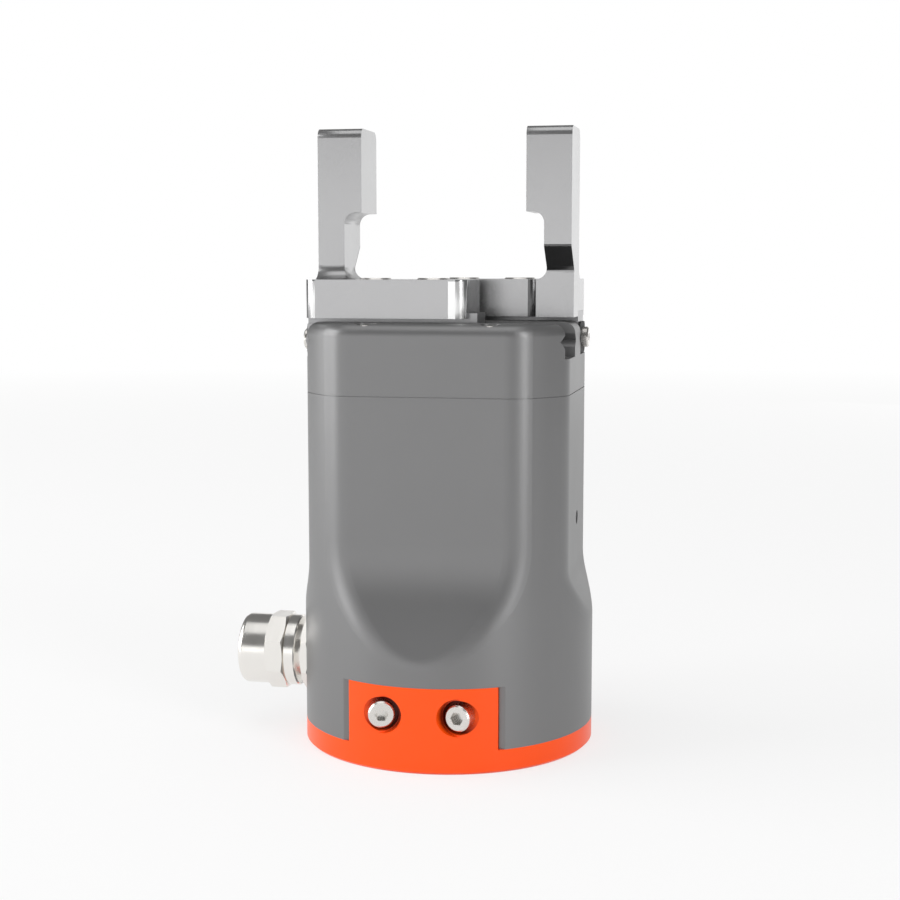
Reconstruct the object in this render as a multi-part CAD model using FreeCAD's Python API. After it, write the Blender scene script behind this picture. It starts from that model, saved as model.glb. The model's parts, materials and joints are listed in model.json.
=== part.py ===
import FreeCAD, Part
import math
import os

os.makedirs("parts", exist_ok=True)

# Electric parallel gripper. Millimetres, +Z up. The origin is the centre of the
# flange's underside. The jaws slide along X, and the front of the gripper is -Y.
# The guides, racks and jaws repeat by a half turn about Z.
V = FreeCAD.Vector
ORIGIN = V(0, 0, 0)
LEFT = V(-1, 0, 0)
RIGHT = V(1, 0, 0)
UP = V(0, 0, 1)
DOWN = V(0, 0, -1)

# Clearances
seat_gap = 0.03          # between fitted pieces of one body
thread_gap = 0.02        # between a screw's shank and its hole
run_gap = 0.04           # radial, shaft in bearing
guide_gap = 0.15         # slider in its channel, screw head in its counterbore
side_gap = 0.4           # between things that pass each other
head_recess = 0.2        # from a screw head down into its counterbore
shaft_room = 1.0         # radial, round a shaft that passes a wall
over = 5.0               # how far a cutting tool reaches past a piece

# Robot flange, for a 63 mm robot wrist
body_r = 31.5
flange_rim_t = 4.8
spigot_step = 2.1
spigot_h = 3.0
flange_edge = 0.5
bolt_edge = 6.5          # bolt circle inside the rim
bolt_count = 4
bolt_first_deg = 45.0
bolt_hole_r = 3.3
bolt_head_r = 5.25
bolt_web = 3.0
dowel_hole_r = 3.0
pilot_r = 15.75
pilot_depth = 3.0
tab_half_w = 15.66
tab_top_z = 17.9
tab_fit_gap = 0.1        # tab in its notch
tab_side_gap = 1.4       # flat on the housing at each side of the tab

# Screws that draw each tab against the housing
tab_screw_x = 7.95
tab_screw_drop = 6.0     # below the top of the tab
tab_screw_toe = 15.0
tab_screw_proud = 0.5
tab_bore_r = 3.6
tab_mouth_r = 3.95
tab_mouth_depth = 0.3

# Housing outside
side_flat = 3.5          # depth of the side flats in the round body
front_flat = 6.5
seam_z = 76.5
cap_h = 14.8
ramp_deg = 20.0
front_ramp_z = 22.5
side_ramp_z = 28.6
front_blend_r = 33.0
side_blend_r = 12.0
corner_r = 8.0
top_round = 2.5
seam_groove_w = 0.16
seam_groove_d = 0.2
side_hole_r = 1.5
side_hole_z = 49.0
side_hole_y = 0.8
side_hole_depth = 5.0

# Housing inside
wall = 4.0               # behind the front flat
ledge = 2.2              # that the base plate and the gearbox cover sit on
plate_wall = 1.8         # between base plate and tab
base_plate_t = 2.4
boss_r = 3.2
boss_inset = 2.4
boss_h = 7.4
boss_first_deg = 30.0
boss_count = 3
rib_bite = 0.8
cover_seat_t = 2.5

# Top housing guides, one channel in front and one behind
channel_y0 = 4.6
guide_wall = 9.4
channel_floor_t = 1.4
channel_depth = 7.3
vee_depth = 1.4
vee_z = 3.5              # above the channel floor
end_wall = 2.1
pocket_round = 2.0
rack_room = 0.76
cap_screw_x = 13.0
cap_screw_edge = 3.4

# Sliders and jaws, drawn for the left jaw
slider_inset = 0.7       # from the housing's side
slider_x1 = 8.9
neck_step = 0.9
key_h = 1.1
jaw_base_gap = 0.85
jaw_inset = 0.7
jaw_x1 = 7.1
jaw_base_t = 8.0
arm_front = 3.3          # arm in front of the slider's neck
arm_y1 = -2.3
arm_outer_r = 2.4
arm_inner_r = 2.2
block_w = 8.15
block_fillet_r = 1.8
finger_neck_w = 5.8
finger_half_y = 6.6
finger_h = 31.85         # above the arm
finger_top_r = 2.0
pad_w = 9.6
pad_rise = 14.15
pad_fillet_r = 2.4
root_fillet_r = 2.5
front_root_r = 3.0
relief_rise = 6.95
relief_fillet_r = 2.0
closed_gap = 0.1
jaw_screw_inset = 5.3
jaw_screw_pitch = 12.5
jaw_bore_r = 3.8
jaw_head_proud = 0.3

# Rack and pinion, then the planetary stage below it
drive_wall = 5.76        # outside the ring gear's tooth roots
pressure_deg = 20.0
addendum = 0.8           # in modules
dedendum = 1.05          # in modules
backlash = 0.08
pinion_teeth = 16
pinion_h = 4.6
rack_h = 5.0
rack_top_gap = 0.5
rack_back_t = 4.6
rack_x1 = 5.0
rack_tail = 2.0
leg_w = 4.0
leg_l = 10.0
leg_inset = 6.3
sun_teeth = 12
planet_teeth = 12
planet_count = 3
gear_face_w = 7.4
planet_pin_r = 1.5
carrier_edge = 1.36
carrier_t = 2.8
pinion_rim = 1.56        # between its bore and the tooth roots
output_bearing_w = 2.0
output_bearing_h = 2.5
ring_h = 13.0
cover_t = 5.5
drive_screw_inset = 2.8
drive_screw_count = 4

# Motor
motor_gap = 1.0
motor_wall = 1.4
motor_face_t = 3.0
end_cap_t = 4.0
shaft_r = 2.5
stator_w = 8.6
rotor_extra = 2.0        # rotor longer than the stator
air_gap = 0.4
coil_room = 4.25         # at each end of the stator
slot_count = 9
slot_mouth_w = 1.0
slot_mouth_l = 1.4
slot_pocket_r = 1.9
slot_depth = 3.4
winding_r = 1.6
winding_end = 1.2
motor_bearing_w = 4.0
motor_bearing_h = 3.0
standoff_h = 4.3
standoff_r = 1.6
standoff_circle_r = 9.5
standoff_count = 3

# Electronics. Places on the control board are a share of its radius and an angle
board_t = 1.6
board_gap = 0.4
component_room = 4.4
chip_w = 7.0
chip_t = 1.2
chip_places = ((0.44, 180), (0.50, 303), (0.42, 93))
can_r = 1.6
can_h = 3.4
can_places = ((0.40, 33), (0.56, 18))
header_l = 8.0
header_w = 3.5
header_h = 3.2
header_place = (0.77, 240)
encoder_board_r = 12.0
encoder_chip_w = 4.0
encoder_chip_t = 0.9
magnet_r = 3.0
magnet_h = 2.0
magnet_gap = 0.6

# Connector on the left, its axis along -X
plug_z = 17.0
plug_spot_depth = 1.2
plug_spot_margin = 1.0
plug_thread_r = 5.0
plug_neck_r = 5.8
plug_nut_af = 16.1
plug_collar_r = 7.9
plug_cap_r = 7.8
plug_bore_r = 6.2
plug_base_t = 1.8
plug_neck_l = 1.4
plug_collar_l = 2.7
plug_nut_l = 4.1
plug_cap_l = 6.5
plug_cap_round = 1.3
plug_socket_depth = 5.2
contact_count = 7
contact_circle_r = 4.2
contact_r = 0.75
contact_wall = 0.25
contact_l = 2.6

# End bumpers on the sliders
bumper_t = 0.5
bumper_w = 8.0
bumper_round = 1.2

# Metric cap screws: shank radius, head radius, head height, hexagon across flats
M2 = (1.0, 1.9, 2.0, 1.5)
M2_5 = (1.25, 2.25, 2.5, 2.0)
M2_5_LOW = (1.25, 2.25, 1.4, 1.5)
M3 = (1.5, 2.75, 3.0, 2.5)
M4 = (2.0, 3.5, 4.0, 3.0)
head_chamfer = 0.3
socket_share = 0.6       # of the head's height
tab_screw_l = 8.0
cap_screw_l = 18.0
jaw_screw_l = 10.0
rack_screw_l = 6.0
board_screw_l = 4.5
base_screw_l = 5.0
drive_screw_l = 18.0
bumper_screw_l = 6.0
screw_tip_room = 0.4

# Worked-out radii and heights of the flange and housing
side_half = body_r - side_flat
front_half = body_r - front_flat
spigot_r = body_r - spigot_step
bolt_circle_r = body_r - bolt_edge
cavity_r = front_half - wall
seat_r = cavity_r + ledge
tab_inner_r = seat_r + plate_wall
boss_circle_r = cavity_r - boss_inset
flange_top_z = flange_rim_t + spigot_h
tab_screw_z = tab_top_z - tab_screw_drop
top_z = seam_z + cap_h
base_plate_z = flange_top_z + seat_gap
shoulder_z = base_plate_z + base_plate_t
boss_top_z = shoulder_z + boss_h
board_r = cavity_r - board_gap
board_top_z = boss_top_z + board_t
cap_screw_y = front_half - cap_screw_edge

# Worked-out places of guides, sliders and jaws
channel_y1 = front_half - guide_wall
channel_floor_z = top_z - channel_depth
pocket_top_z = channel_floor_z - channel_floor_t
pocket_half_x = side_half - end_wall
vee_mid_z = channel_floor_z + vee_z
slider_x0 = slider_inset - side_half
slider_bottom_z = channel_floor_z + guide_gap
slider_shoulder_z = top_z - side_gap
slider_mid_y = -(channel_y0 + channel_y1) / 2
neck_y0 = neck_step - channel_y1
neck_y1 = -channel_y0 - neck_step
jaw_z = top_z + jaw_base_gap
arm_top_z = jaw_z + jaw_base_t
arm_y0 = neck_y0 - arm_front
jaw_x0 = jaw_inset - side_half
block_x1 = jaw_x0 + block_w
block_y = -arm_y1 - side_gap
finger_neck_x = jaw_x0 + finger_neck_w
finger_top_z = arm_top_z + finger_h
pad_x = jaw_x0 + pad_w
pad_z = arm_top_z + pad_rise
relief_z = arm_top_z + relief_rise
travel = -pad_x - closed_gap
jaw_screw_x = block_x1 + jaw_screw_inset
bumper_h = slider_shoulder_z - slider_bottom_z

# Worked-out gears
ring_teeth = sun_teeth + 2 * planet_teeth
gear_module = (cavity_r - drive_wall) / (ring_teeth / 2 + dedendum)
pinion_r = gear_module * pinion_teeth / 2
sun_r = gear_module * sun_teeth / 2
planet_r = gear_module * planet_teeth / 2
ring_r = gear_module * ring_teeth / 2
ring_tip_r = ring_r - addendum * gear_module
orbit_r = sun_r + planet_r
carrier_r = ring_tip_r - carrier_edge
output_r = pinion_r - dedendum * gear_module - pinion_rim
output_bearing_r = output_r + output_bearing_w
rack_z1 = pocket_top_z - rack_top_gap
rack_z0 = rack_z1 - rack_h
rack_root_y = -pinion_r - dedendum * gear_module
rack_back_y = rack_root_y - rack_back_t
leg_y = rack_root_y - rack_back_t / 2
leg_x0 = slider_x0 + leg_inset
rack_x0 = leg_x0 - rack_tail
pocket_half_y = rack_room - rack_back_y

# Worked-out drive, from the seam downwards, and board, from the floor upwards
drive_r = cavity_r - seat_gap
drive_screw_r = cavity_r - drive_screw_inset
drive_screw_z = seam_z - M2_5[2] - head_recess
cover_z = seam_z - cover_t
ring_z = cover_z - ring_h
carrier_z1 = cover_z - side_gap
carrier_z0 = carrier_z1 - carrier_t
gear_z1 = carrier_z0 - side_gap
gear_z0 = gear_z1 - gear_face_w
motor_r = cavity_r - motor_gap
motor_bearing_r = shaft_r + motor_bearing_w
encoder_z = board_top_z + component_room
encoder_top_z = encoder_z + board_t
magnet_z = encoder_top_z + encoder_chip_t + magnet_gap
end_cap_z = encoder_top_z + standoff_h
motor_z = end_cap_z + end_cap_t
motor_h = ring_z - motor_z
stator_z = motor_z + coil_room
stator_h = motor_h - motor_face_t - 2 * coil_room
stator_inner_r = motor_r - motor_wall - stator_w
rotor_r = stator_inner_r - air_gap
slot_r = stator_inner_r + slot_depth
rotor_h = stator_h + rotor_extra
rotor_z = stator_z - rotor_extra / 2

# Worked-out places along the connector
plug_face_x = body_r - plug_spot_depth
plug_neck_x = plug_face_x + plug_base_t
plug_collar_x = plug_neck_x + plug_neck_l
plug_nut_x = plug_collar_x + plug_collar_l
plug_cap_x = plug_nut_x + plug_nut_l
plug_end_x = plug_cap_x + plug_cap_l
insert_x0 = plug_nut_x + plug_nut_l / 2
insert_x1 = plug_end_x - plug_socket_depth


def rod(radius, height, z=0.0):
    return Part.makeCylinder(radius, height, V(0, 0, z))


def tube(outer_r, inner_r, height, z):
    return rod(outer_r, height, z).cut(rod(inner_r, height, z))


def block(x0, x1, y0, y1, z0, z1):
    return Part.makeBox(x1 - x0, y1 - y0, z1 - z0, V(x0, y0, z0))


def slab(z0, z1):
    """Everything between two heights."""
    half = body_r + over
    return block(-half, half, -half, half, z0, z1)


def polygon_face(points):
    return Part.Face(Part.makePolygon(points + [points[0]]))


def moved(shape, x, y, z):
    copy = shape.copy()
    copy.translate(V(x, y, z))
    return copy


def turned(shape, degrees):
    copy = shape.copy()
    copy.rotate(ORIGIN, UP, degrees)
    return copy


def ring_of(shape, count, first=0.0):
    return [turned(shape, first + 360.0 * k / count) for k in range(count)]


def around(shape, circle_r, count, first=0.0):
    """Copies of a piece drawn on the Z axis, spaced round a circle."""
    return ring_of(moved(shape, circle_r, 0, 0), count, first)


def both_ways(shape):
    """The shape, and its copy a half turn round."""
    return [shape, turned(shape, 180)]


def fuse_all(shapes):
    return shapes[0].multiFuse(shapes[1:]).removeSplitter()


def cut_all(shape, tools):
    return shape.cut(Part.makeCompound(tools))


def placed(shape, position, direction):
    """Move a piece drawn along Z so that its head looks along direction."""
    copy = shape.copy()
    place = FreeCAD.Placement(position, FreeCAD.Rotation(UP, direction))
    copy.Placement = place.multiply(copy.Placement)
    return copy


def prism_about_z(sides, across_flats, height, z):
    radius = across_flats / 2 / math.cos(math.pi / sides)
    points = []
    for k in range(sides):
        angle = 2 * math.pi * (k + 0.5) / sides
        points.append(V(radius * math.cos(angle), radius * math.sin(angle), z))
    return polygon_face(points).extrude(V(0, 0, height))


def cap_screw(size, length):
    """Socket head cap screw along Z, its head seated on Z = 0."""
    shank_r, head_r, head_h, across_flats = size
    profile = polygon_face([
        V(0, 0, -length),
        V(shank_r - head_chamfer, 0, -length),
        V(shank_r, 0, -length + head_chamfer),
        V(shank_r, 0, 0),
        V(head_r, 0, 0),
        V(head_r, 0, head_h - head_chamfer),
        V(head_r - head_chamfer, 0, head_h),
        V(0, 0, head_h),
    ])
    screw = profile.revolve(ORIGIN, UP, 360)
    return screw.cut(prism_about_z(6, across_flats, head_h, head_h * (1 - socket_share)))


def shank_hole(size, length):
    """Room for the shank of a cap screw, with space past its tip."""
    reach = length + screw_tip_room
    return rod(size[0] + thread_gap, reach + seat_gap, -reach)


def arc_between(centre, radius, start_deg, end_deg, plane):
    """Arc in the plane XZ, YZ or XY, from one angle to another."""
    points = []
    for angle in (start_deg, (start_deg + end_deg) / 2, end_deg):
        u = centre[0] + radius * math.cos(math.radians(angle))
        w = centre[1] + radius * math.sin(math.radians(angle))
        points.append({"XZ": V(u, 0, w), "YZ": V(0, u, w), "XY": V(u, w, 0)}[plane])
    return Part.Arc(*points).toShape()


def closed_face(edges):
    """Join arcs and lines, in order, with straight runs between their ends."""
    chain = []
    for k, edge in enumerate(edges):
        chain.append(edge)
        end = edge.valueAt(edge.LastParameter)
        following = edges[(k + 1) % len(edges)]
        start = following.valueAt(following.FirstParameter)
        if end.distanceToPoint(start) > 1e-6:
            chain.append(Part.makeLine(end, start))
    return Part.Face(Part.Wire(chain))


# Gears

def involute_angle(radius, base_r):
    roll = math.sqrt(max((radius / base_r) ** 2 - 1, 0))
    return roll - math.atan(roll)


def toothed_face(teeth, root_r, tip_r, thickness):
    """Involute outline with a tooth of the given thickness centred on +X."""
    pitch_r = gear_module * teeth / 2
    base_r = pitch_r * math.cos(math.radians(pressure_deg))
    low_r = max(root_r, base_r)
    half = thickness / 2 / pitch_r + involute_angle(pitch_r, base_r)
    flank = []
    for radius in (low_r, (low_r + tip_r) / 2, tip_r):
        flank.append((radius, half - involute_angle(radius, base_r)))
    step = 2 * math.pi / teeth

    def at(radius, angle):
        return V(radius * math.cos(angle), radius * math.sin(angle), 0)

    edges = []
    for k in range(teeth):
        middle = k * step
        rise = [at(r, middle - a) for r, a in flank]
        fall = [at(r, middle + a) for r, a in reversed(flank)]
        foot = at(root_r, middle - flank[0][1])
        heel = at(root_r, middle + flank[0][1])
        if low_r > root_r + 1e-6:
            edges.append(Part.makeLine(foot, rise[0]))
        edges.append(Part.Arc(*rise).toShape())
        edges.append(Part.Arc(rise[2], at(tip_r, middle), fall[0]).toShape())
        edges.append(Part.Arc(*fall).toShape())
        if low_r > root_r + 1e-6:
            edges.append(Part.makeLine(fall[2], heel))
        next_foot = at(root_r, middle + step - flank[0][1])
        edges.append(Part.Arc(heel, at(root_r, middle + step / 2), next_foot).toShape())
    return Part.Face(Part.Wire(edges))


def spur_gear(teeth, height, z, bore_r):
    pitch_r = gear_module * teeth / 2
    thickness = math.pi * gear_module / 2 - backlash / 2
    root_r = pitch_r - dedendum * gear_module
    tip_r = pitch_r + addendum * gear_module
    gear = toothed_face(teeth, root_r, tip_r, thickness).extrude(V(0, 0, height))
    return moved(gear, 0, 0, z).cut(rod(bore_r, height, z))


# Outer form of the housing

def ramp_cutter(half, foot_z, blend_r):
    """What a flat and its ramp take off the round body, on the +X side."""
    lean = math.radians(ramp_deg)
    meet_z = foot_z + (body_r - half) / math.tan(lean)
    tangent = blend_r * math.tan(lean / 2)
    outside = body_r + over
    blend = arc_between((half + blend_r, meet_z + tangent), blend_r, 180, 180 + ramp_deg, "XZ")
    low = V(outside, 0, foot_z - over / math.tan(lean))
    high = V(outside, 0, top_z + over)
    inner = V(half, 0, top_z + over)
    face = closed_face([blend, Part.makeLine(low, high), Part.makeLine(high, inner)])
    return moved(face.extrude(V(0, 2 * outside, 0)), 0, -outside, 0)


def on_round_body(edge):
    """Whether an edge bounds a flat, so that it gets the corner fillet."""
    span = edge.LastParameter - edge.FirstParameter
    points = [edge.valueAt(edge.FirstParameter + span * t) for t in (0.02, 0.5, 0.98)]
    on_wall = all(abs(math.hypot(p.x, p.y) - body_r) < 0.001 for p in points)
    inside = all(flange_rim_t + 0.01 < p.z < top_z - 0.01 for p in points)
    is_seam = abs(points[0].y) < 1e-6 and abs(points[2].y) < 1e-6
    return on_wall and inside and not is_seam


def housing_form():
    form = rod(body_r, top_z - flange_rim_t, flange_rim_t)
    front = ramp_cutter(front_half, front_ramp_z, front_blend_r)
    side = ramp_cutter(side_half, side_ramp_z, side_blend_r)
    form = cut_all(form, both_ways(turned(front, 90)) + both_ways(side))
    form = form.makeFillet(corner_r, [e for e in form.Edges if on_round_body(e)])
    rim = [e for e in form.Edges if e.BoundBox.ZMin > top_z - 0.001]
    return form.makeFillet(top_round, rim)


def seam_groove():
    """Shallow groove all round where the two housings meet."""
    z0 = seam_z - seam_groove_w / 2
    z1 = seam_z + seam_groove_w / 2
    half_x = side_half - seam_groove_d
    half_y = front_half - seam_groove_d
    core = rod(body_r - seam_groove_d, seam_groove_w, z0)
    core = core.common(block(-half_x, half_x, -half_y, half_y, z0, z1))
    corners = [e for e in core.Edges if e.BoundBox.ZLength > seam_groove_w / 2]
    return slab(z0, z1).cut(core.makeFillet(corner_r, corners))


# Flange

def tab_screw_frame(side):
    """Head seat and outward direction of a toed screw on the front tab."""
    toe = math.radians(tab_screw_toe) * side
    outward = V(-math.sin(toe), -math.cos(toe), 0)
    x = tab_screw_x * side
    surface = V(x, -math.sqrt(body_r ** 2 - x ** 2), tab_screw_z)
    return surface + outward * (tab_screw_proud - M3[2]), outward


def at_tab_screws(shape):
    """Put a piece drawn along Z at all four screws, a flat of its socket down."""
    copies = []
    for side in (-1, 1):
        seat, outward = tab_screw_frame(side)
        flat_down = turned(shape, math.degrees(math.atan2(outward.y, outward.x)))
        copies += both_ways(placed(flat_down, seat, outward))
    return copies


def flange():
    rim = rod(body_r, flange_rim_t)
    rim = rim.makeChamfer(flange_edge, [e for e in rim.Edges if abs(e.BoundBox.ZMax) < 0.001])
    tab = tube(body_r, tab_inner_r, tab_top_z - flange_rim_t, flange_rim_t)
    tab = tab.common(block(-tab_half_w, tab_half_w, -body_r - over, 0, 0, tab_top_z))
    body = fuse_all([rim, rod(spigot_r, spigot_h, flange_rim_t)] + both_ways(tab))
    mouth_z = M3[2] - tab_screw_proud - tab_mouth_depth
    cuts = around(rod(bolt_hole_r, flange_top_z), bolt_circle_r, bolt_count, bolt_first_deg)
    counterbore = rod(bolt_head_r, flange_top_z - bolt_web, bolt_web)
    cuts += around(counterbore, bolt_circle_r, bolt_count, bolt_first_deg)
    cuts.append(moved(rod(dowel_hole_r, flange_top_z - bolt_web), 0, bolt_circle_r, 0))
    cuts.append(rod(pilot_r, pilot_depth))
    cuts += at_tab_screws(shank_hole(M3, tab_screw_l))
    cuts += at_tab_screws(rod(tab_bore_r, 2 * M3[2]))
    cuts += at_tab_screws(rod(tab_mouth_r, over, mouth_z))
    return cut_all(body, cuts)


# Housings

def at_bosses(shape):
    return around(shape, boss_circle_r, boss_count, boss_first_deg)


def base_screws():
    head_z = base_plate_z + M2_5_LOW[2]
    return at_bosses(placed(cap_screw(M2_5_LOW, base_screw_l), V(0, 0, head_z), DOWN))


def board_screws():
    return at_bosses(moved(cap_screw(M2_5_LOW, board_screw_l), 0, 0, board_top_z))


def at_cap_screws(shape):
    head_z = top_z - M2_5[2] - side_gap
    copies = []
    for x in (-cap_screw_x, cap_screw_x):
        for y in (-cap_screw_y, cap_screw_y):
            copies.append(moved(shape, x, y, head_z))
    return copies


def along_plug(shape):
    """Put a piece drawn along Z on the connector's axis, Z = 0 at the body's axis."""
    return placed(shape, V(0, 0, plug_z), LEFT)


def tab_notch():
    """Room in the housing for the front tab, with a flat at each side of it."""
    top = tab_top_z + seat_gap
    root_x = tab_half_w + tab_fit_gap
    notch = tube(body_r + over, tab_inner_r - seat_gap, top - flange_rim_t, flange_rim_t)
    notch = notch.common(block(-root_x, root_x, -body_r - over, 0, 0, top))
    flat_y = math.sqrt(body_r ** 2 - (tab_half_w + tab_side_gap) ** 2)
    return notch.fuse(block(-body_r, body_r, -body_r - over, -flat_y, flange_rim_t, top))


def lower_housing(form):
    body = form.common(slab(0, seam_z)).cut(seam_groove())
    cuts = [rod(cavity_r, seam_z, shoulder_z)]
    cuts.append(rod(seat_r + seat_gap, base_plate_t + seat_gap, base_plate_z - seat_gap))
    cuts.append(rod(spigot_r + seat_gap, spigot_h + seat_gap, flange_rim_t))
    cuts.append(rod(seat_r + seat_gap, cover_seat_t, seam_z - cover_seat_t))
    bolt_room = rod(bolt_head_r, spigot_h + seat_gap, flange_rim_t)
    cuts += around(bolt_room, bolt_circle_r, bolt_count, bolt_first_deg)
    cuts += both_ways(tab_notch())
    cuts += at_tab_screws(shank_hole(M3, tab_screw_l))
    side_hole = rod(side_hole_r, side_hole_depth + over, -side_hole_depth)
    cuts.append(placed(side_hole, V(side_half, side_hole_y, side_hole_z), RIGHT))
    cuts += at_cap_screws(shank_hole(M2_5, cap_screw_l))
    cuts.append(along_plug(rod(plug_nut_af / 2 + plug_spot_margin, over, plug_face_x - seat_gap)))
    cuts.append(along_plug(rod(plug_thread_r + thread_gap, body_r)))
    body = cut_all(body, cuts)
    boss = rod(boss_r, boss_h, shoulder_z)
    rib = block(0, boss_inset + rib_bite, -boss_r, boss_r, shoulder_z, boss_top_z)
    body = fuse_all([body] + at_bosses(boss.fuse(rib)))
    return cut_all(body, at_bosses(rod(M2_5[0] + thread_gap, boss_h, shoulder_z)))


def channel_face(gap, top):
    """Section of the front channel in YZ, or of the slider in it with a gap."""
    y0 = -channel_y1 + gap
    y1 = -channel_y0 - gap
    bottom = channel_floor_z + gap
    return polygon_face([
        V(0, y0, bottom),
        V(0, y1, bottom),
        V(0, y1, vee_mid_z - vee_depth),
        V(0, y1 + vee_depth, vee_mid_z),
        V(0, y1, vee_mid_z + vee_depth),
        V(0, y1, top),
        V(0, y0, top),
        V(0, y0, vee_mid_z + vee_depth),
        V(0, y0 - vee_depth, vee_mid_z),
        V(0, y0, vee_mid_z - vee_depth),
    ])


def top_housing(form):
    body = form.common(slab(seam_z, top_z)).cut(seam_groove())
    channel = channel_face(0, top_z + over).extrude(V(2 * body_r, 0, 0))
    slot = block(
        leg_x0 - side_gap, leg_x0 + leg_l + travel + side_gap,
        leg_y - leg_w / 2 - guide_gap, leg_y + leg_w / 2 + guide_gap,
        pocket_top_z - side_gap, channel_floor_z + side_gap)
    pocket = block(-pocket_half_x, pocket_half_x, -pocket_half_y, pocket_half_y, seam_z, pocket_top_z)
    upright = [e for e in pocket.Edges if e.BoundBox.XLength + e.BoundBox.YLength < 0.001]
    cuts = both_ways(moved(channel, -body_r, 0, 0)) + both_ways(slot)
    cuts.append(pocket.makeFillet(pocket_round, upright))
    cuts += at_cap_screws(rod(M2_5[1] + guide_gap, M2_5[2] + over))
    cuts += at_cap_screws(shank_hole(M2_5, cap_screw_l))
    return cut_all(body, cuts)


def base_plate():
    plate = rod(seat_r, base_plate_t, base_plate_z)
    head = rod(M2_5_LOW[1] + guide_gap, M2_5_LOW[2], base_plate_z)
    shank = rod(M2_5_LOW[0] + thread_gap, base_plate_t, base_plate_z)
    return cut_all(plate, at_bosses(head.fuse(shank)))


# Electronics

def control_board():
    board = rod(board_r, board_t, boss_top_z)
    return cut_all(board, at_bosses(rod(M2_5[0] + thread_gap, board_t, boss_top_z)))


def on_board(shape, place):
    """Stand a piece on the control board, at a share of its radius and an angle."""
    share, degrees = place
    x = share * board_r * math.cos(math.radians(degrees))
    y = share * board_r * math.sin(math.radians(degrees))
    return moved(shape, x, y, board_top_z)


def board_components():
    """Driver chips, capacitors and a plug header."""
    chip = block(-chip_w / 2, chip_w / 2, -chip_w / 2, chip_w / 2, 0, chip_t)
    header = block(-header_l / 2, header_l / 2, -header_w / 2, header_w / 2, 0, header_h)
    pieces = [on_board(chip, place) for place in chip_places]
    pieces += [on_board(rod(can_r, can_h), place) for place in can_places]
    return pieces + [on_board(header, header_place)]


def encoder_board():
    half = encoder_chip_w / 2
    chip = block(-half, half, -half, half, encoder_top_z, encoder_top_z + encoder_chip_t)
    board = rod(encoder_board_r, board_t, encoder_z).fuse(chip)
    hole = rod(standoff_r / 2, board_t, encoder_z)
    return cut_all(board, around(hole, standoff_circle_r, standoff_count))


# Motor

def motor_end_cap():
    post = rod(standoff_r, standoff_h, encoder_top_z)
    pin = rod(standoff_r / 2 - seat_gap, board_t, encoder_z)
    cap = rod(motor_r, end_cap_t, end_cap_z)
    cap = fuse_all([cap] + around(post, standoff_circle_r, standoff_count)
                   + around(pin, standoff_circle_r, standoff_count))
    seat = rod(motor_bearing_r + seat_gap, motor_bearing_h, motor_z - motor_bearing_h)
    return cut_all(cap, [seat, rod(shaft_r + shaft_room, end_cap_t, end_cap_z)])


def motor_can():
    can = rod(motor_r, motor_h, motor_z)
    inside = rod(motor_r - motor_wall, motor_h - motor_face_t, motor_z)
    seat = rod(motor_bearing_r + seat_gap, motor_bearing_h, ring_z - motor_bearing_h)
    hole = rod(shaft_r + shaft_room, motor_h, motor_z)
    screw = rod(M2_5[0] + thread_gap, motor_face_t, ring_z - motor_face_t)
    return cut_all(can, [inside, seat, hole] + at_drive_screws(screw))


def motor_stator():
    ring = tube(motor_r - motor_wall - seat_gap, stator_inner_r, stator_h, stator_z)
    mouth = block(
        stator_inner_r - air_gap, stator_inner_r + slot_mouth_l,
        -slot_mouth_w / 2, slot_mouth_w / 2, stator_z, stator_z + stator_h)
    pocket = moved(rod(slot_pocket_r, stator_h, stator_z), slot_r, 0, 0)
    return cut_all(ring, ring_of(mouth.fuse(pocket), slot_count))


def motor_windings():
    coil = rod(winding_r, stator_h + 2 * winding_end, stator_z - winding_end)
    return around(coil, slot_r, slot_count)


def motor_rotor():
    return tube(rotor_r, shaft_r + seat_gap, rotor_h, rotor_z)


def motor_shaft():
    foot_z = magnet_z + magnet_h
    return rod(shaft_r, gear_z1 - foot_z, foot_z)


def encoder_magnet():
    return rod(magnet_r, magnet_h, magnet_z)


def motor_bearings():
    heights = (motor_z - motor_bearing_h, ring_z - motor_bearing_h)
    return [tube(motor_bearing_r, shaft_r + run_gap, motor_bearing_h, z) for z in heights]


# Planetary stage

def at_drive_screws(shape):
    return around(shape, drive_screw_r, drive_screw_count, bolt_first_deg)


def ring_gear():
    thickness = math.pi * gear_module / 2 + backlash / 2
    room = toothed_face(ring_teeth, ring_tip_r, ring_r + dedendum * gear_module, thickness)
    room = turned(room, 180.0 / ring_teeth).extrude(V(0, 0, ring_h))
    screw = rod(M2_5[0] + thread_gap, ring_h, ring_z)
    return cut_all(rod(drive_r, ring_h, ring_z), [moved(room, 0, 0, ring_z)] + at_drive_screws(screw))


def sun_gear():
    return spur_gear(sun_teeth, gear_face_w, gear_z0, shaft_r + seat_gap)


def planet_gear(k):
    gear = spur_gear(planet_teeth, gear_face_w, gear_z0, planet_pin_r + run_gap)
    gear = moved(turned(gear, 180.0 / planet_teeth), orbit_r, 0, 0)
    return turned(gear, 360.0 * k / planet_count)


def planet_pins():
    return around(rod(planet_pin_r, carrier_z1 - gear_z0, gear_z0), orbit_r, planet_count)


def planet_carrier():
    disc = rod(carrier_r, carrier_t, carrier_z0)
    shaft = rod(output_r, rack_z1 - carrier_z1, carrier_z1)
    pin = rod(planet_pin_r + seat_gap, carrier_t, carrier_z0)
    return cut_all(disc.fuse(shaft), around(pin, orbit_r, planet_count))


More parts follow.
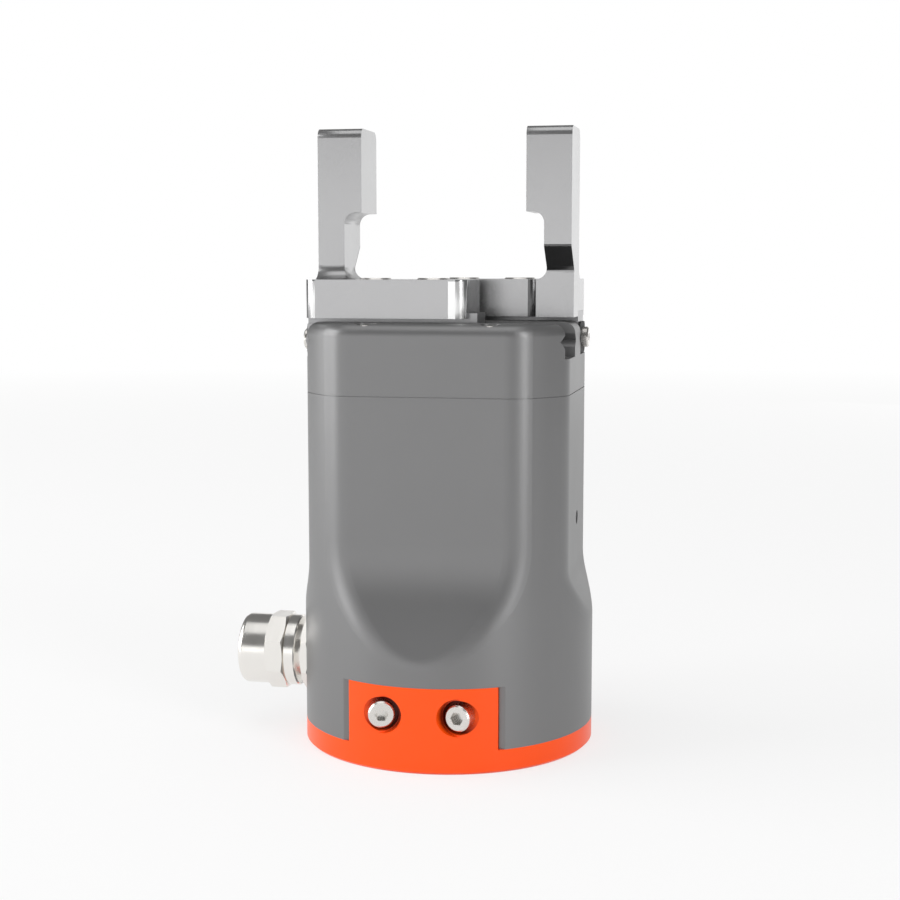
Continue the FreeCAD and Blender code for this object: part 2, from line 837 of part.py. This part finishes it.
def gearbox_cover():
    body = rod(drive_r, cover_t, cover_z).fuse(rod(seat_r, cover_seat_t, seam_z - cover_seat_t))
    seat_h = 2 * output_bearing_h
    seat = rod(output_bearing_r + seat_gap, seat_h, seam_z - seat_h)
    hole = rod(output_r + shaft_room, cover_t, cover_z)
    head = rod(M2_5[1] + guide_gap, M2_5[2] + head_recess, drive_screw_z)
    shank = rod(M2_5[0] + thread_gap, cover_t, cover_z)
    return cut_all(body, [seat, hole] + at_drive_screws(head.fuse(shank)))


def output_bearings():
    heights = (seam_z - output_bearing_h, seam_z - 2 * output_bearing_h)
    return [tube(output_bearing_r, output_r + run_gap, output_bearing_h, z) for z in heights]


def drive_screws():
    return at_drive_screws(moved(cap_screw(M2_5, drive_screw_l), 0, 0, drive_screw_z))


def pinion():
    return spur_gear(pinion_teeth, pinion_h, rack_z1 - pinion_h, output_r + seat_gap)


# Racks, sliders and jaws, all drawn for the left jaw

def at_rack_screws(shape):
    """At the two screws that hold the rack to the slider's leg, heads down."""
    head_z = rack_z0 + M2[2] + head_recess
    return [moved(shape, leg_x0 + share * leg_l, leg_y, head_z) for share in (0.25, 0.75)]


def rack():
    """Rack in front of the pinion, with a tooth space at X = 0."""
    pitch = math.pi * gear_module
    lean = math.tan(math.radians(pressure_deg))
    half_tip = pitch / 4 - backlash / 4 - addendum * gear_module * lean
    half_root = pitch / 4 - backlash / 4 + dedendum * gear_module * lean
    tip_y = -pinion_r + addendum * gear_module
    points = [V(rack_x1, rack_back_y, 0), V(rack_x1, rack_root_y, 0)]
    last = math.floor((rack_x1 - half_root) / pitch - 0.5)
    first = math.ceil((rack_x0 + half_root) / pitch - 0.5)
    for k in range(last, first - 1, -1):
        x = (k + 0.5) * pitch
        points.append(V(x + half_root, rack_root_y, 0))
        points.append(V(x + half_tip, tip_y, 0))
        points.append(V(x - half_tip, tip_y, 0))
        points.append(V(x - half_root, rack_root_y, 0))
    points += [V(rack_x0, rack_root_y, 0), V(rack_x0, rack_back_y, 0)]
    body = moved(polygon_face(points).extrude(V(0, 0, rack_h)), 0, 0, rack_z0)
    depth = M2[2] + head_recess
    head = rod(M2[1] + guide_gap, depth, -depth)
    shank = rod(M2[0] + thread_gap, rack_h, -depth)
    return cut_all(body, at_rack_screws(head.fuse(shank)))


def rack_screws():
    return at_rack_screws(placed(cap_screw(M2, rack_screw_l), ORIGIN, DOWN))


def at_jaw_screws(shape):
    head_z = arm_top_z + jaw_head_proud - M4[2]
    places = (jaw_screw_x, jaw_screw_x + jaw_screw_pitch)
    return [moved(shape, x, (neck_y0 + neck_y1) / 2, head_z) for x in places]


def jaw_screws():
    return at_jaw_screws(cap_screw(M4, jaw_screw_l))


def on_slider_end(shape):
    """Put a piece drawn along Z on the slider's left end, looking left."""
    return placed(shape, V(slider_x0, slider_mid_y, slider_bottom_z + bumper_h / 2), LEFT)


def bumper_screw():
    return on_slider_end(moved(cap_screw(M2_5_LOW, bumper_screw_l), 0, 0, bumper_t))


def bumper():
    plate = block(-bumper_h / 2, bumper_h / 2, -bumper_w / 2, bumper_w / 2, 0, bumper_t)
    upright = [e for e in plate.Edges if e.BoundBox.ZLength > bumper_t / 2]
    plate = plate.makeFillet(bumper_round, upright)
    return on_slider_end(plate.cut(rod(M2_5[0] + thread_gap, bumper_t)))


def slider():
    length = slider_x1 - slider_x0
    body = channel_face(guide_gap, slider_shoulder_z).extrude(V(length, 0, 0))
    neck = block(slider_x0, slider_x1, neck_y0, neck_y1, slider_shoulder_z, jaw_z + key_h)
    leg = block(
        leg_x0, leg_x0 + leg_l, leg_y - leg_w / 2, leg_y + leg_w / 2,
        rack_z1, slider_bottom_z)
    body = fuse_all([moved(body, slider_x0, 0, 0), neck, leg])
    cuts = at_jaw_screws(shank_hole(M4, jaw_screw_l))
    cuts += at_rack_screws(rod(M2[0] + thread_gap, rack_screw_l + screw_tip_room))
    cuts.append(on_slider_end(moved(shank_hole(M2_5, bumper_screw_l), 0, 0, bumper_t)))
    return cut_all(body, cuts)


def jaw_base():
    """Arm in front of the centre line, with the block that carries the finger."""
    left = arc_between((jaw_x0 + arm_outer_r, arm_y0 + arm_outer_r), arm_outer_r, 180, 270, "XY")
    right = arc_between((jaw_x1 - arm_inner_r, arm_y0 + arm_inner_r), arm_inner_r, 270, 360, "XY")
    back = Part.makeLine(V(jaw_x1, arm_y1, 0), V(block_x1 + block_fillet_r, arm_y1, 0))
    inner = arc_between((block_x1 + block_fillet_r, arm_y1 + block_fillet_r), block_fillet_r, 270, 180, "XY")
    rear = Part.makeLine(V(block_x1, block_y, 0), V(jaw_x0, block_y, 0))
    base = closed_face([left, right, back, inner, rear]).extrude(V(0, 0, jaw_base_t))
    return moved(base, 0, 0, jaw_z)


def finger():
    """Where a side profile along Y and an end profile along X meet."""
    side = closed_face([
        Part.makeLine(V(block_x1, 0, jaw_z), V(block_x1, 0, arm_top_z)),
        arc_between((finger_neck_x + root_fillet_r, arm_top_z + root_fillet_r), root_fillet_r, 270, 180, "XZ"),
        arc_between((finger_neck_x + pad_fillet_r, pad_z - pad_fillet_r), pad_fillet_r, 180, 90, "XZ"),
        Part.makeLine(V(pad_x, 0, pad_z), V(pad_x, 0, finger_top_z)),
        Part.makeLine(V(jaw_x0, 0, finger_top_z), V(jaw_x0, 0, jaw_z)),
    ]).extrude(V(0, 2 * body_r, 0))
    bend = relief_fillet_r * math.tan(math.radians(22.5))
    bend_z = relief_z - (finger_half_y - block_y) - bend
    top_mid_z = finger_top_z - finger_top_r
    end = closed_face([
        Part.makeLine(V(0, block_y, jaw_z), V(0, block_y, bend_z)),
        arc_between((block_y + relief_fillet_r, bend_z), relief_fillet_r, 180, 135, "YZ"),
        Part.makeLine(V(0, finger_half_y, relief_z), V(0, finger_half_y, top_mid_z)),
        arc_between((finger_half_y - finger_top_r, top_mid_z), finger_top_r, 0, 90, "YZ"),
        arc_between((finger_top_r - finger_half_y, top_mid_z), finger_top_r, 90, 180, "YZ"),
        arc_between((-finger_half_y - front_root_r, arm_top_z + front_root_r), front_root_r, 0, -90, "YZ"),
        Part.makeLine(V(0, -finger_half_y - front_root_r, arm_top_z), V(0, -finger_half_y, jaw_z)),
    ]).extrude(V(body_r, 0, 0))
    return moved(side, 0, -body_r, 0).common(moved(end, -body_r, 0, 0))


def jaw():
    body = fuse_all([jaw_base(), finger()])
    groove = block(
        jaw_x0 - over, jaw_x1 + over, neck_y0 - seat_gap, neck_y1 + seat_gap,
        jaw_z - over, jaw_z + key_h + seat_gap)
    cuts = at_jaw_screws(rod(jaw_bore_r, jaw_base_t)) + at_jaw_screws(shank_hole(M4, jaw_screw_l))
    return cut_all(body, [groove] + cuts)


# Connector

def octagon_nut(height, start):
    """Nut drawn along Z with a flat to the front, its ends chamfered round."""
    inner_r = plug_nut_af / 2
    limit_r = inner_r / math.cos(math.pi / 8)
    drop = (limit_r - inner_r) / 2
    profile = polygon_face([
        V(0, 0, start),
        V(inner_r, 0, start),
        V(limit_r, 0, start + drop),
        V(limit_r, 0, start + height - drop),
        V(inner_r, 0, start + height),
        V(0, 0, start + height),
    ])
    return prism_about_z(8, plug_nut_af, height, start).common(profile.revolve(ORIGIN, UP, 360))


def connector_base():
    thread = rod(plug_thread_r, plug_face_x - cavity_r, cavity_r)
    nut = octagon_nut(plug_base_t, plug_face_x)
    neck = rod(plug_neck_r, plug_neck_l, plug_neck_x)
    return along_plug(fuse_all([thread, nut, neck]))


def connector_collar():
    collar = rod(plug_collar_r, plug_collar_l, plug_collar_x)
    ends = [e for e in collar.Edges if e.BoundBox.ZLength < 0.1]
    return along_plug(collar.makeChamfer(head_chamfer, ends))


def connector_nut():
    return along_plug(octagon_nut(plug_nut_l, plug_nut_x).cut(rod(plug_bore_r, plug_nut_l, insert_x0)))


def connector_cap():
    cap = rod(plug_cap_r, plug_cap_l, plug_cap_x)
    rim = [e for e in cap.Edges if e.BoundBox.ZMin > plug_end_x - 0.001]
    cap = cap.makeFillet(plug_cap_round, rim)
    return along_plug(cap.cut(rod(plug_bore_r, plug_cap_l, plug_cap_x)))


def at_contacts(shape):
    return around(shape, contact_circle_r, contact_count) + [shape]


def connector_insert():
    body = rod(plug_bore_r - seat_gap, insert_x1 - insert_x0, insert_x0)
    hole = rod(contact_r + seat_gap, contact_l, insert_x1 - contact_l)
    return along_plug(cut_all(body, at_contacts(hole)))


def connector_contacts():
    sleeve = tube(contact_r, contact_r - contact_wall, contact_l, insert_x1 - contact_l)
    return [along_plug(s) for s in at_contacts(sleeve)]


def save(name, made):
    """Write one solid, or a list of them, as a node."""
    shape = Part.makeCompound(made) if isinstance(made, list) else made
    shape.exportStep("parts/" + name + ".step")


def save_hands(name, made):
    """Write the left piece, and the right one turned half round."""
    solids = made if isinstance(made, list) else [made]
    save("left_" + name, solids)
    save("right_" + name, [turned(s, 180) for s in solids])


form = housing_form()
save("flange", flange())
save("lower_housing", lower_housing(form))
save("top_housing", top_housing(form))
save("base_plate", base_plate())
save("base_plate_screws", base_screws())
save("flange_screws", at_tab_screws(cap_screw(M3, tab_screw_l)))
save("housing_screws", at_cap_screws(cap_screw(M2_5, cap_screw_l)))
save("control_board", control_board())
save("board_components", board_components())
save("board_screws", board_screws())
save("encoder_board", encoder_board())
save("encoder_magnet", encoder_magnet())
save("motor_end_cap", motor_end_cap())
save("motor_can", motor_can())
save("motor_stator", motor_stator())
save("motor_windings", motor_windings())
save("motor_rotor", motor_rotor())
save("motor_shaft", motor_shaft())
save("motor_bearings", motor_bearings())
save("ring_gear", ring_gear())
save("sun_gear", sun_gear())
for number in range(planet_count):
    save("planet_gear_" + str(number + 1), planet_gear(number))
save("planet_pins", planet_pins())
save("planet_carrier", planet_carrier())
save("gearbox_cover", gearbox_cover())
save("output_bearings", output_bearings())
save("drive_screws", drive_screws())
save("pinion", pinion())
save("connector_base", connector_base())
save("connector_collar", connector_collar())
save("connector_nut", connector_nut())
save("connector_cap", connector_cap())
save("connector_insert", connector_insert())
save("connector_contacts", connector_contacts())
save_hands("rack", rack())
save_hands("rack_screws", rack_screws())
save_hands("slider", slider())
save_hands("jaw", jaw())
save_hands("jaw_screws", jaw_screws())
save_hands("bumper", bumper())
save_hands("bumper_screw", bumper_screw())
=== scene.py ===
import json
import math

import bpy
from mathutils import Matrix, Vector

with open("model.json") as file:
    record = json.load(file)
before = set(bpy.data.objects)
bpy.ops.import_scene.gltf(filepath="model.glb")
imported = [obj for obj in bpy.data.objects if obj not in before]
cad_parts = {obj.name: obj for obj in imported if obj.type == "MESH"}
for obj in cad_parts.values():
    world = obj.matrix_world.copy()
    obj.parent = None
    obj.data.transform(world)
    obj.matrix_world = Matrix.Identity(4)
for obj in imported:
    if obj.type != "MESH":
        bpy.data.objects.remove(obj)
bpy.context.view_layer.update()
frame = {"nodes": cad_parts, "record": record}

MM = 0.001

# Camera, found by fitting the photograph's arcs and edges
CAMERA_AT = Vector((69.64, -342.66, 102.94)) * MM
CAMERA_TURN = math.radians(11.46)
CAMERA_DIP = math.radians(6.51)
CAMERA_LENS = 64.47
CAMERA_SENSOR = 36.0
CAMERA_NEAREST = 0.01
CAMERA_FURTHEST = 20.0

# Studio, in metres
FLOOR_HALF = 3.0
BACKDROP_SIZE = (4.05, 1.0)
BACKDROP_X = 0.275
STAGE_PALE = (0.8, 0.8, 0.8)
WHITE_BEGINS = 0.2          # distances from the object between which the floor turns white
WHITE_ENDS = 1.3
LAMP_TARGET = Vector((0, 0, 0.065))
WORLD_LEVEL = 0.55          # on matt surfaces
WORLD_IN_METAL = 0.18       # in reflections, above the floor

# The screw bores in the orange tab and the painted shade in them, in metres
BORE_MOUTH = 0.0311         # distance from the middle at which the painted shade in a bore begins
BORE_SHADE = 0.0016
BORE_DARKNESS = 0.85
BORE_SHADE_COLOR = (0.05, 0.003, 0.001)
FLANGE_LIP = 0.0040
TAB_TOP = 0.0185

# The jaws, in metres. A line has its middle and half of its width.
ARM_OUTER_SHINE = (-0.0254, 0.0005)     # painted highlight on the arm's outer rounding
ARM_INNER_SHINE = (0.0050, 0.0016)      # painted highlight on its inner rounding
ARM_OUTER_RIM = -0.0265     # painted shade on the rounding's last part, which turns away from the light
ARM_TOP_EDGE = 0.0998
ARM_FACE = 0.0155           # beyond this depth only the arm's front is left
RELIEF_LINE = (0.1005, 0.0004)   # painted shade on the sloped facet under a finger, where z less the depth is on this line
RELIEF_FOOT = 0.1018
BLOCK_CORNER = (0.0180, 0.0012)  # painted shade in the inside corner between the rear arm and its block
BLOCK_CORNER_TOP = 0.1003
BLOCK_CORNER_DEPTH = 0.006
# how strong the painted shade is on the facet, the rim and the corner
RELIEF_DARKNESS = 0.85
RIM_DARKNESS = 0.7
CORNER_DARKNESS = 0.75
JAW_METAL = 0.9
JAW_METAL_LOSS = 0.2        # less metal where the painted highlight is, so that it shows whiter
# colour of the painted highlights
PAINTED_HIGHLIGHT = (0.82, 0.82, 0.82)
PAINTED_SHADE = (0.03, 0.03, 0.03)
EDGE_WIDTH_MM = 0.32
EDGE_SEGMENTS = 2
EDGE_ANGLE = math.radians(40.0)
SAME_POINT = 1e-6

PLAIN_SWING = 0.1           # between the dullest and the shiniest place of a plain finish

# Places of the sockets on Blender's Mix node, several of which share a name
MIX_FACTOR = 0
MIX_NUMBERS = (2, 3)
MIX_COLORS = (6, 7)
MIX_COLOR_OUT = 2


class Shade:
    """A socket of a node tree that takes part in ordinary sums."""

    def __init__(self, tree, socket):
        self.tree = tree
        self.socket = socket

    def __add__(self, other):
        return self.tree.sum("ADD", self, other)

    __radd__ = __add__

    def __sub__(self, other):
        return self.tree.sum("SUBTRACT", self, other)

    def __rsub__(self, other):
        return self.tree.sum("SUBTRACT", other, self)

    def __mul__(self, other):
        return self.tree.sum("MULTIPLY", self, other)

    __rmul__ = __mul__

    def clamped(self):
        return self.tree.sum("ADD", self, 0.0, clamp=True)


class Tree:
    """A node tree that grows node by node."""

    def __init__(self, owner):
        owner.use_nodes = True
        self.nodes = owner.node_tree.nodes
        self.links = owner.node_tree.links

    def fill(self, node, socket, value):
        """Give a socket of a node its number, colour or link."""
        if isinstance(value, Shade):
            self.links.new(value.socket, node.inputs[socket])
        else:
            node.inputs[socket].default_value = value

    def node(self, kind, settings, values, output=0):
        """New node with its settings and its sockets' values. Gives one of its outputs."""
        node = self.nodes.new(kind)
        for name, setting in settings.items():
            setattr(node, name, setting)
        for socket, value in values.items():
            self.fill(node, socket, value)
        return Shade(self, node.outputs[output])

    def sum(self, operation, *values, clamp=False):
        """Math node with the given operation on its values."""
        settings = {"operation": operation, "use_clamp": clamp}
        return self.node("ShaderNodeMath", settings, dict(enumerate(values)))


class Paint(Tree):
    """One material under construction, around a Principled shader."""

    def __init__(self, name, color, metallic, roughness, specular=0.5):
        self.material = bpy.data.materials.new(name)
        super().__init__(self.material)
        self.shader = self.nodes["Principled BSDF"]
        self.color = color
        self.set("Base Color", (*color, 1.0))
        self.set("Metallic", metallic)
        self.set("Roughness", roughness)
        self.set("Specular IOR Level", specular)
        self.place = self.node("ShaderNodeTexCoord", {}, {}, "Object")

    def set(self, socket, value):
        self.fill(self.shader, socket, value)

    def stretched(self, scale):
        """The object's own position, stretched for a pattern that runs in one direction."""
        return self.node("ShaderNodeMapping", {}, {"Vector": self.place, "Scale": scale})

    def noise(self, scale, detail=3.0, vector=None):
        values = {"Vector": vector or self.place, "Scale": scale, "Detail": detail}
        return self.node("ShaderNodeTexNoise", {}, values, "Fac")

    def mixed(self, factor, *colors):
        """Colour that goes from the first to the second as factor goes from 0 to 1."""
        values = {MIX_FACTOR: factor}
        for socket, color in zip(MIX_COLORS, colors):
            values[socket] = color if isinstance(color, Shade) else (*color, 1.0)
        return self.node("ShaderNodeMix", {"data_type": "RGBA"}, values, MIX_COLOR_OUT)

    def position(self):
        """The coordinates of the object's own position, in metres."""
        return [self.node("ShaderNodeSeparateXYZ", {}, {0: self.place}, axis) for axis in "XYZ"]

    def above(self, value, limit):
        return self.sum("GREATER_THAN", value, limit)

    def below(self, value, limit):
        return self.sum("LESS_THAN", value, limit)

    def on_line(self, value, line):
        """1 on a line that is given by its middle and half of its width, and 0 beside it."""
        return self.sum("COMPARE", value, *line)

    def bump(self, height, distance_mm, strength):
        values = {"Height": height, "Distance": distance_mm * MM, "Strength": strength}
        self.set("Normal", self.node("ShaderNodeBump", {}, values, "Normal"))


def anodised_grey():
    paint = Paint("anodised_grey", (0.205, 0.205, 0.2065), metallic=0.72, roughness=0.39)
    grain = paint.noise(scale=9000.0, detail=2.0)
    cloud = paint.noise(scale=60.0)
    paler = (0.218, 0.218, 0.2195)
    paint.set("Roughness", 0.34 + 0.07 * cloud + 0.04 * grain)
    paint.set("Base Color", paint.mixed(paint.noise(scale=35.0), paint.color, paler))
    paint.bump(grain, distance_mm=0.003, strength=0.5)
    return paint.material


def orange_anodised():
    """Orange of the flange, with painted shade that darkens its screw bores with depth."""
    paint = Paint("orange_anodised", (0.93, 0.078, 0.0032), metallic=0.0, roughness=0.34,
                  specular=0.3)
    grain = paint.noise(scale=8000.0, detail=2.0)
    cloud = paint.noise(scale=70.0)
    paler = (0.96, 0.086, 0.0042)
    paint.set("Roughness", 0.27 + 0.06 * cloud + 0.03 * grain)
    x, y, z = paint.position()
    radius = paint.sum("SQRT", x * x + y * y)
    # painted shade: the bores darken with their depth, within the tab's height
    depth = ((BORE_MOUTH - radius) * (1.0 / BORE_SHADE)).clamped()
    in_tab = paint.above(z, FLANGE_LIP) * paint.below(z, TAB_TOP)
    body = paint.mixed(paint.noise(scale=40.0), paint.color, paler)
    paint.set("Base Color", paint.mixed(depth * in_tab * BORE_DARKNESS, body, BORE_SHADE_COLOR))
    paint.bump(grain, distance_mm=0.003, strength=0.4)
    return paint.material


def blasted_aluminium():
    """Fine blasted jaw, with painted highlights on the rounded ends of its arm and painted
    shade in a few places.
    """
    paint = Paint("blasted_aluminium", (0.385, 0.385, 0.389), JAW_METAL, roughness=0.30)
    grain = paint.noise(scale=12000.0, detail=2.0)
    cloud = paint.noise(scale=90.0)
    paler = (0.41, 0.41, 0.413)
    paint.set("Roughness", 0.20 + 0.07 * grain + 0.05 * cloud)

    x, y, z = paint.position()
    depth = paint.sum("ABSOLUTE", y)
    along = x * (paint.sum("SIGN", y) * -1.0)       # the rear jaw is the front one, turned
    on_face = paint.above(depth, ARM_FACE)
    # painted highlight on the rounded ends of the arm, on its front only
    rounding = paint.on_line(along, ARM_INNER_SHINE) + paint.on_line(along, ARM_OUTER_SHINE)
    painted_highlight = on_face * rounding.clamped() * paint.below(z, ARM_TOP_EDGE)

    # painted shade on the facet under a finger, the rim of the outer rounding and the inside
    # corner by the rear arm's block
    relief = paint.on_line(z - depth, RELIEF_LINE) * paint.above(z, RELIEF_FOOT)
    relief = relief * paint.below(x * y, 0.0)
    rim = on_face * paint.below(along, ARM_OUTER_RIM)
    corner = paint.on_line(paint.sum("ABSOLUTE", x), BLOCK_CORNER)
    corner = corner * paint.below(z, BLOCK_CORNER_TOP) * paint.below(depth, BLOCK_CORNER_DEPTH)
    painted_shade = relief * RELIEF_DARKNESS + rim * RIM_DARKNESS + corner * CORNER_DARKNESS

    body = paint.mixed(paint.noise(scale=50.0), paint.color, paler)
    bright = paint.mixed(painted_highlight, body, PAINTED_HIGHLIGHT)
    paint.set("Base Color", paint.mixed(painted_shade.clamped(), bright, PAINTED_SHADE))
    paint.set("Metallic", JAW_METAL - JAW_METAL_LOSS * painted_highlight)
    paint.bump(grain, distance_mm=0.004, strength=0.5)
    return paint.material


def edge_painted_highlight():
    """Painted highlight on the small chamfer, cut after blasting, that breaks each edge."""
    paint = Paint("edge_painted_highlight", PAINTED_HIGHLIGHT, metallic=0.85, roughness=0.25)
    grain = paint.noise(scale=5000.0, detail=2.0)
    paint.set("Roughness", 0.20 + 0.1 * grain)
    paint.bump(grain, distance_mm=0.002, strength=0.3)
    return paint.material


def ground_steel():
    paint = Paint("ground_steel", (0.36, 0.36, 0.365), metallic=0.9, roughness=0.34)
    lengthwise = paint.stretched((0.05, 1.0, 1.0))
    streaks = paint.noise(scale=600.0, detail=4.0, vector=lengthwise)
    paint.set("Roughness", 0.26 + 0.16 * streaks)
    paint.bump(streaks, distance_mm=0.004, strength=0.5)
    return paint.material


def nickel_plate():
    paint = Paint("nickel_plate", (0.86, 0.84, 0.805), metallic=1.0, roughness=0.2)
    around = paint.stretched((1.0, 0.06, 0.06))
    turned = paint.noise(scale=900.0, vector=around)
    paint.set("Roughness", 0.17 + 0.10 * turned)
    paint.bump(turned, distance_mm=0.002, strength=0.4)
    return paint.material


def bright_screw():
    paint = Paint("bright_screw", (0.72, 0.70, 0.67), metallic=1.0, roughness=0.24)
    grain = paint.noise(scale=4000.0, detail=2.0)
    paint.set("Roughness", 0.20 + 0.12 * grain)
    paint.bump(grain, distance_mm=0.003, strength=0.4)
    return paint.material


def black_rubber():
    paint = Paint("black_rubber", (0.018, 0.018, 0.018), metallic=0.0, roughness=0.62)
    grain = paint.noise(scale=5000.0)
    paint.set("Roughness", 0.55 + 0.2 * grain)
    paint.bump(grain, distance_mm=0.01, strength=0.5)
    return paint.material


def plain(name, color, metallic, roughness, grain_scale, grain_mm):
    """Finish of one colour, with a fine grain that makes its gloss uneven."""
    paint = Paint(name, color, metallic, roughness)
    grain = paint.noise(grain_scale)
    paint.set("Roughness", (roughness - PLAIN_SWING / 2) + PLAIN_SWING * grain)
    paint.bump(grain, grain_mm, strength=0.4)
    return paint.material


def plain_metal(name, color, roughness):
    return plain(name, color, 1.0, roughness, grain_scale=3000.0, grain_mm=0.003)


def plain_plastic(name, color, roughness):
    return plain(name, color, 0.0, roughness, grain_scale=4000.0, grain_mm=0.004)


def dress_nodes():
    """Give every CAD node the finish of its slot."""
    finishes = {
        "orange_anodised": orange_anodised(),
        "grey_housing": anodised_grey(),
        "bead_blasted_aluminium": blasted_aluminium(),
        "hard_slider_steel": ground_steel(),
        "nickel_plated": nickel_plate(),
        "stainless_screws": bright_screw(),
        "zinc_screws": plain_metal("zinc_screw", (0.55, 0.55, 0.57), 0.35),
        "black_rubber": black_rubber(),
        "gear_steel": plain_metal("gear_steel", (0.40, 0.40, 0.41), 0.3),
        "bearing_steel": plain_metal("bearing_steel", (0.65, 0.65, 0.66), 0.18),
        "turned_aluminium": plain_metal("turned_aluminium", (0.70, 0.70, 0.71), 0.32),
        "circuit_board": plain_plastic("circuit_board", (0.02, 0.16, 0.07), 0.35),
        "black_components": plain_plastic("black_component", (0.03, 0.03, 0.03), 0.45),
        "magnet_black": plain_plastic("magnet_black", (0.10, 0.10, 0.11), 0.5),
        "laminated_steel": plain_metal("laminated_steel", (0.22, 0.22, 0.23), 0.45),
        "copper_coils": plain_metal("copper_coil", (0.60, 0.25, 0.12), 0.35),
        "black_insulator": plain_plastic("black_insulator", (0.03, 0.03, 0.03), 0.45),
        "gold_contacts": plain_metal("gold_contact", (0.80, 0.58, 0.22), 0.22),
    }
    for row in frame["record"]["subparts"]:
        node = frame["nodes"][row["node"]]
        node.data.materials.clear()
        node.data.materials.append(finishes[row["material_slot"]])


def break_edges(names, edge):
    """Small chamfers on the sharp edges of nodes, by modifiers alone, in the painted highlight
    finish.
    """
    for name in names:
        node = frame["nodes"][name]
        node.data.materials.append(edge)
        weld = node.modifiers.new("join", "WELD")
        weld.merge_threshold = SAME_POINT
        bevel = node.modifiers.new("edges", "BEVEL")
        bevel.width = EDGE_WIDTH_MM * MM
        bevel.segments = EDGE_SEGMENTS
        bevel.limit_method = "ANGLE"
        bevel.angle_limit = EDGE_ANGLE
        bevel.material = len(node.data.materials) - 1


def add_camera():
    """Camera at the photograph's place, looking down a little."""
    data = bpy.data.cameras.new("camera")
    data.lens = CAMERA_LENS
    data.sensor_width = CAMERA_SENSOR
    data.clip_start = CAMERA_NEAREST
    data.clip_end = CAMERA_FURTHEST
    camera = bpy.data.objects.new("camera", data)
    bpy.context.scene.collection.objects.link(camera)
    turn = Matrix.Rotation(CAMERA_TURN, 4, "Z")
    tilt = Matrix.Rotation(math.pi / 2 - CAMERA_DIP, 4, "X")
    camera.matrix_world = Matrix.Translation(CAMERA_AT) @ turn @ tilt
    bpy.context.scene.camera = camera


def soft_light(name, azimuth, elevation, distance, width, height, power):
    """Area light that looks at the object. Azimuth 0 is in front, 90 to the right."""
    data = bpy.data.lights.new(name, "AREA")
    data.shape = "RECTANGLE"
    data.size = width
    data.size_y = height
    data.energy = power
    lamp = bpy.data.objects.new(name, data)
    bpy.context.scene.collection.objects.link(lamp)
    a = math.radians(azimuth)
    e = math.radians(elevation)
    away = Vector((math.sin(a) * math.cos(e), -math.cos(a) * math.cos(e), math.sin(e)))
    lamp.location = LAMP_TARGET + away * distance
    lamp.rotation_euler = away.to_track_quat("Z", "Y").to_euler()


def add_world():
    """Even pale surroundings, dimmer in reflections, as in a darkened studio."""
    world = bpy.data.worlds.new("studio")
    bpy.context.scene.world = world
    tree = Tree(world)
    background = tree.nodes["Background"]
    reflected = tree.node("ShaderNodeLightPath", {}, {}, "Is Glossy Ray")
    levels = dict(zip(MIX_NUMBERS, (WORLD_LEVEL, WORLD_IN_METAL)))
    strength = tree.node("ShaderNodeMix", {}, {MIX_FACTOR: reflected, **levels})
    tree.fill(background, "Color", (1.0, 1.0, 1.0, 1.0))
    tree.fill(background, "Strength", strength)


def white_for_the_eye(name, near, far):
    """Pale matt surface, partly plain white to the eye, in metal and through glass.

    near and far are the white's share close to the object and away from it; the rest is
    lit by the lamps, and keeps the shadow.
    """
    paint = Paint(name, STAGE_PALE, metallic=0.0, roughness=0.9, specular=0.1)
    seen = paint.node("ShaderNodeLightPath", {}, {}, "Is Camera Ray")
    for ray in ("Is Glossy Ray", "Is Transmission Ray"):
        seen = paint.sum("MAXIMUM", seen, paint.node("ShaderNodeLightPath", {}, {}, ray))
    length = {"operation": "LENGTH"}
    distance = paint.node("ShaderNodeVectorMath", length, {0: paint.place}, "Value")
    share = paint.node("ShaderNodeMapRange", {}, {
        "Value": distance,
        "From Min": WHITE_BEGINS,
        "From Max": WHITE_ENDS,
        "To Min": near,
        "To Max": far,
    })
    matt = Shade(paint, paint.shader.outputs[0])
    white = paint.node("ShaderNodeEmission", {}, {"Strength": 1.0})
    both = paint.node("ShaderNodeMixShader", {}, {0: seen * share, 1: matt, 2: white})
    paint.fill(paint.nodes["Material Output"], "Surface", both)
    return paint.material


def flat_card(name, size, upright, place, finish):
    """Rectangle with its place in the mesh, so the object itself stays at the origin."""
    bpy.ops.object.select_all(action="DESELECT")
    bpy.ops.mesh.primitive_plane_add(size=1)
    card = bpy.context.object
    card.name = name
    card.data.transform(Matrix.Diagonal((*size, 1.0, 1.0)))
    if upright:
        card.data.transform(Matrix.Rotation(math.pi / 2, 4, "X"))
    card.data.transform(Matrix.Translation(place))
    card.data.materials.append(finish)
    return card


def add_stage():
    floor = flat_card("floor", (2 * FLOOR_HALF, 2 * FLOOR_HALF), False, (0, 0, 0),
                      white_for_the_eye("pale_floor", near=0.70, far=1.0))
    backdrop_middle = (BACKDROP_X, FLOOR_HALF, BACKDROP_SIZE[1] / 2)
    backdrop = flat_card("backdrop", BACKDROP_SIZE, True, backdrop_middle,
                         white_for_the_eye("pale_backdrop", near=1.0, far=1.0))


def add_lights():
    """Two tall lamps on the left, one on the right, and weaker ones in front, behind, above."""
    lamps = (
        # name, azimuth, elevation, distance, width, height, power
        ("left_strip", -90, 6, 0.9, 0.50, 1.3, 5.8),
        ("left_fill", -60, 6, 0.9, 0.34, 1.3, 5.6),
        ("front_fill", -15, 4, 1.2, 0.9, 0.34, 1.15),
        ("right_strip", 52, 8, 0.9, 0.26, 1.3, 5.2),
        ("back_right", 164, 5, 0.9, 0.30, 1.3, 0.5),
        ("top_box", 0, 80, 1.1, 0.9, 0.9, 2.8),
    )
    for lamp in lamps:
        soft_light(*lamp)


bpy.context.scene.view_settings.view_transform = "Standard"
dress_nodes()
break_edges(("left_jaw", "right_jaw"), edge_painted_highlight())
add_camera()
add_world()
add_stage()
add_lights()
